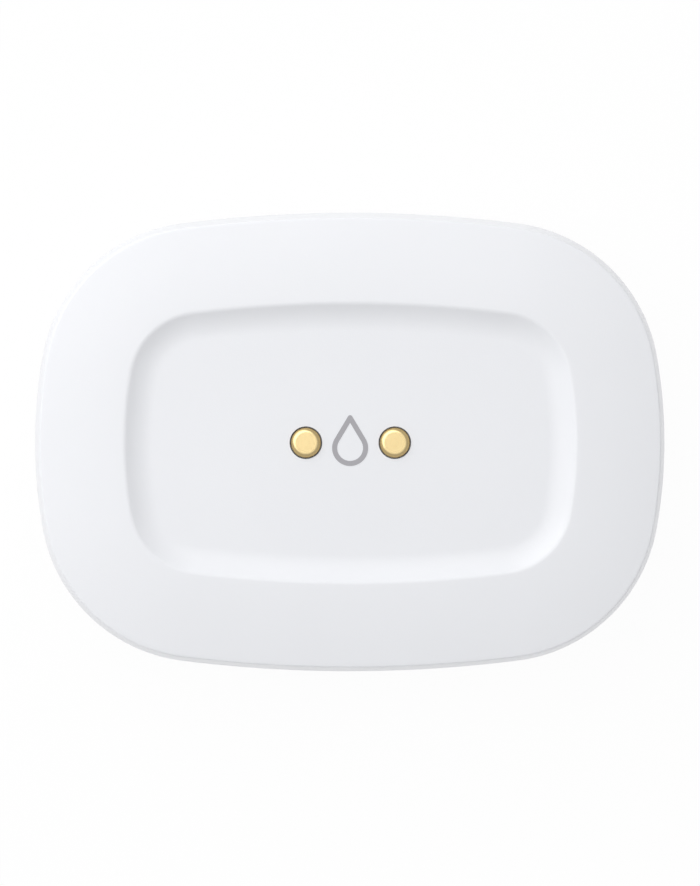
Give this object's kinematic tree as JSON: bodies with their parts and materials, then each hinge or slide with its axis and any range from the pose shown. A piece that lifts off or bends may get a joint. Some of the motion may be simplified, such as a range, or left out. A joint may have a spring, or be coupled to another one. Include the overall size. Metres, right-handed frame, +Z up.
{
  "type": "water leak sensor",
  "caption": "Flat, rounded-rectangle water leak sensor: white case with a shallow dish and gold water contacts, lift-off cover over a board and a coin cell.",
  "frame": {"origin": "centre of the footprint, on the surface that the feet stand on", "axes": "+X along the case's length, +Y across it, +Z up out of the dish"},
  "size_m": [0.056, 0.0408, 0.016],
  "materials": {
    "white_plastic": "fine satin moulding",
    "gold_plating": "satin gold plating on brass",
    "spring_metal": "nickel-plated strip",
    "nut_steel": "plain spring steel",
    "screw_steel": "zinc plated",
    "cell_steel": "bright nickel-plated steel",
    "tinned_steel": "tinned sheet",
    "seal_rubber": "moulded silicone",
    "ring_rubber": "moulded rubber",
    "foot_rubber": "soft matt rubber",
    "board_laminate": "solder mask over glass laminate",
    "module_laminate": "solder mask over laminate",
    "holder_plastic": "black moulding",
    "gasket_plastic": "dark sealing plastic",
    "switch_plastic": "black moulding",
    "stem_plastic": "cream moulding",
    "clear_plastic": "clear moulding",
    "led_resin": "pale resin",
    "chip_black": "black moulding compound",
    "ceramic_tan": "fired ceramic",
    "antenna_ceramic": "fired ceramic"
  },
  "bodies": {
    "base": {"base_shell": "white_plastic", "rim_seal": "seal_rubber", "rubber_feet": "foot_rubber", "left_bottom_contact": "gold_plating", "right_bottom_contact": "gold_plating", "bottom_contact_seals": "ring_rubber", "bottom_contact_nuts": "nut_steel", "circuit_board": "board_laminate", "board_screws": "screw_steel", "upper_spring_fingers": "spring_metal", "lower_spring_fingers": "spring_metal", "battery_holder": "holder_plastic", "cell_can": "cell_steel", "cell_gasket": "gasket_plastic", "cell_cap": "cell_steel", "positive_clip": "spring_metal", "negative_contact": "spring_metal", "radio_module_board": "module_laminate", "radio_shield": "tinned_steel", "chip_antenna": "antenna_ceramic", "switch_body": "switch_plastic", "switch_plate": "tinned_steel", "switch_dome": "tinned_steel", "switch_terminals": "tinned_steel", "status_led": "led_resin", "temperature_sensor": "chip_black", "voltage_regulator": "chip_black", "crystal": "tinned_steel", "capacitors": "ceramic_tan", "resistors": "chip_black"},
    "cover": {"top_cover": "white_plastic", "light_guide": "clear_plastic", "left_top_contact": "gold_plating", "right_top_contact": "gold_plating", "left_contact_strip": "spring_metal", "right_contact_strip": "spring_metal", "top_contact_seals": "ring_rubber", "top_contact_nuts": "nut_steel"},
    "button": {"switch_stem": "stem_plastic"}
  },
  "joints": [
    {"name": "cover_lift", "type": "slide", "parent": "base", "child": "cover", "axis": [0, 0, 1], "range_m": [0, 0.03]},
    {"name": "connect_button_press", "type": "slide", "parent": "base", "child": "button", "axis": [0, 0, -1], "range_m": [0, 0.00025], "stiffness_N_per_m": 400, "springref_m": -0.001}
  ]
}
